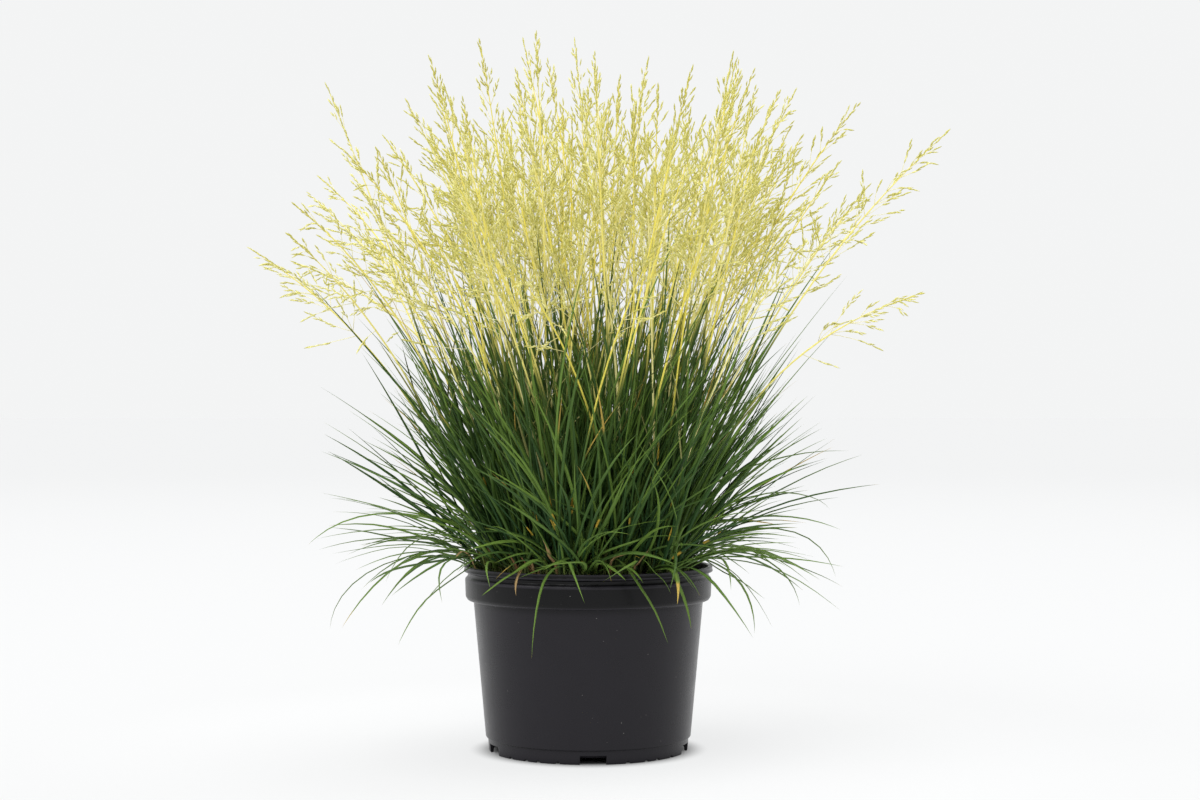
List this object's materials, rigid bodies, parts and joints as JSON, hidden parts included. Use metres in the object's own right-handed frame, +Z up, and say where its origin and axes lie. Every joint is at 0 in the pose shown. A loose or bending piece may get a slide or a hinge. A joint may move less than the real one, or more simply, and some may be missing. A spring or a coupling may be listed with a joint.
{
  "type": "potted fescue grass",
  "caption": "Dense upright clump of fescue grass in flower, with fine green blades and golden branched heads, in a black nursery pot filled with soil.",
  "frame": {"origin": "centre of the pot's foot, on the surface that the pot stands on", "axes": "+Z up along the pot's axis, -Y towards the side that faces the camera, +X to that camera's right"},
  "size_m": [0.5026, 0.425, 0.5484],
  "materials": {
    "pot": "satin black moulded plastic with fine scuffs and dust specks",
    "soil": null,
    "leaves": null,
    "flower_stems": null
  },
  "bodies": {
    "root": {"pot": "pot", "soil": "soil", "leaves_01": "leaves", "leaves_02": "leaves", "leaves_03": "leaves", "leaves_04": "leaves", "leaves_05": "leaves", "leaves_06": "leaves", "leaves_07": "leaves", "leaves_08": "leaves", "leaves_09": "leaves", "leaves_10": "leaves", "leaves_11": "leaves", "leaves_12": "leaves", "leaves_13": "leaves", "leaves_14": "leaves", "leaves_15": "leaves", "leaves_16": "leaves", "leaves_17": "leaves", "leaves_18": "leaves", "leaves_19": "leaves", "flower_stems_01": "flower_stems", "flower_stems_02": "flower_stems", "flower_stems_03": "flower_stems", "flower_stems_04": "flower_stems", "flower_stems_05": "flower_stems", "flower_stems_06": "flower_stems", "flower_stems_07": "flower_stems", "flower_stems_08": "flower_stems", "flower_stems_09": "flower_stems", "flower_stems_10": "flower_stems", "flower_stems_11": "flower_stems", "flower_stems_12": "flower_stems", "flower_stems_13": "flower_stems", "flower_stems_14": "flower_stems", "flower_stems_15": "flower_stems", "flower_stems_16": "flower_stems", "flower_stems_17": "flower_stems", "flower_stems_18": "flower_stems", "flower_stems_19": "flower_stems"}
  },
  "joints": []
}
